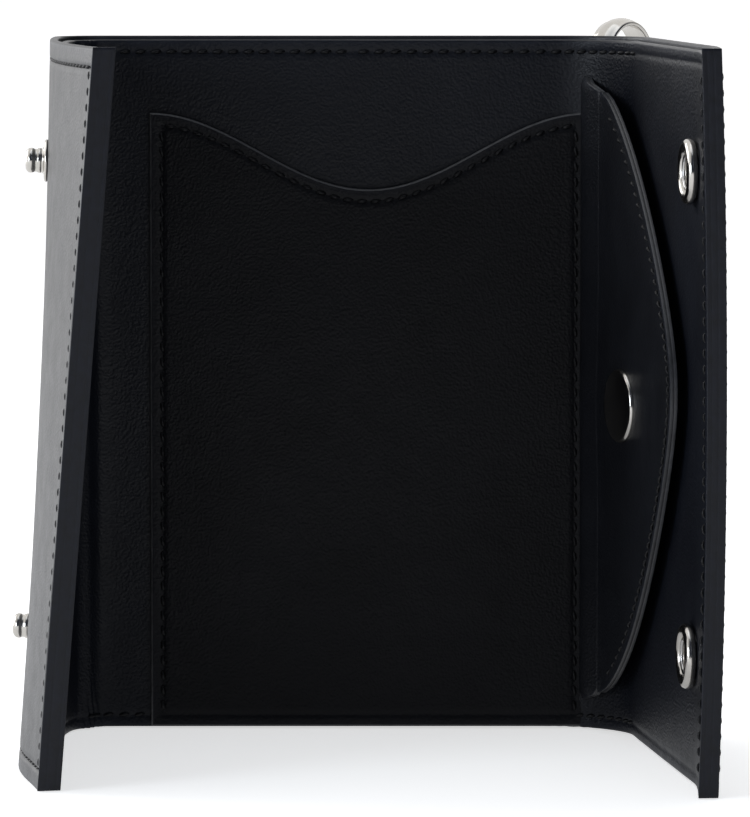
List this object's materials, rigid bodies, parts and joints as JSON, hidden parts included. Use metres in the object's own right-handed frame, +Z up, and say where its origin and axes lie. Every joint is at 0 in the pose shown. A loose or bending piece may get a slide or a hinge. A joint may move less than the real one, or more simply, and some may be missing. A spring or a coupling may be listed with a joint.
{
  "type": "trifold chain wallet",
  "caption": "Trifold leather wallet standing half open, with a card pocket, a snapping coin flap, snap closures and a ring on a keeper strap for a chain.",
  "frame": {"origin": "middle of the back panel's bottom edge, on the surface that the wallet stands on", "axes": "+X to the wallet's right seen from its inside, -Y out of the inside towards the viewer, +Z up"},
  "size_m": [0.1072, 0.0967, 0.1126],
  "materials": {
    "outer_leather": "smooth black leather with a fine grain and a soft sheen",
    "lining_leather": "smooth black lining leather",
    "pocket_fabric": "black woven pocket lining",
    "thread": "waxed black sewing thread",
    "nickel": "polished nickel plate",
    "spring_steel": "bright spring wire"
  },
  "bodies": {
    "centre": {"shell_centre": "outer_leather", "bill_divider": "pocket_fabric", "lining_centre": "lining_leather", "card_pocket": "outer_leather", "coin_flap_root": "outer_leather", "keeper_rivet": "nickel", "keeper_rivet_burr": "nickel", "fold_left": "outer_leather", "fold_right": "outer_leather"},
    "left_flap": {"shell_left": "outer_leather", "lining_left": "lining_leather", "card_slot_rear": "lining_leather", "card_slot_front": "lining_leather", "stud_upper": "nickel", "stud_lower": "nickel", "stud_rivet_upper": "nickel", "stud_rivet_lower": "nickel"},
    "right_flap": {"shell_right": "outer_leather", "coin_pouch": "pocket_fabric", "lining_right": "lining_leather", "cap_upper": "nickel", "cap_lower": "nickel", "socket_upper": "nickel", "socket_lower": "nickel", "socket_spring_upper": "spring_steel", "socket_spring_lower": "spring_steel", "coin_stud": "nickel", "coin_stud_rivet": "nickel"},
    "coin_flap": {"coin_flap": "outer_leather", "coin_flap_lining": "lining_leather", "coin_cap": "nickel", "coin_socket": "nickel"},
    "keeper": {"keeper_strap": "outer_leather"},
    "ring": {"chain_ring": "nickel"}
  },
  "joints": [
    {"name": "left_flap_fold", "type": "hinge", "parent": "centre", "child": "left_flap", "pos_m": [-0.04316, -0.0034, 0.055], "axis": [0, 0, 1], "range_deg": [-94, 85.8], "deforming": ["fold_left"]},
    {"name": "right_flap_fold", "type": "hinge", "parent": "centre", "child": "right_flap", "pos_m": [0.0379, -0.0079, 0.055], "axis": [0, 0, -1], "range_deg": [-82.4, 97.6], "deforming": ["fold_right", "coin_flap_root"]},
    {"name": "coin_flap_lift", "type": "hinge", "parent": "right_flap", "child": "coin_flap", "pos_m": [0.0412, -0.011, 0.0526], "axis": [0, 0, 1], "range_deg": [-85, 0]},
    {"name": "keeper_turn", "type": "hinge", "parent": "centre", "child": "keeper", "pos_m": [0.026, 0.00175, 0.1052], "axis": [0, 1, 0], "range_deg": [-10, 70]},
    {"name": "ring_swing", "type": "hinge", "parent": "keeper", "child": "ring", "pos_m": [0.039, 0.0045, 0.1052], "axis": [0, 0, 1], "range_deg": [-50, 80]}
  ]
}
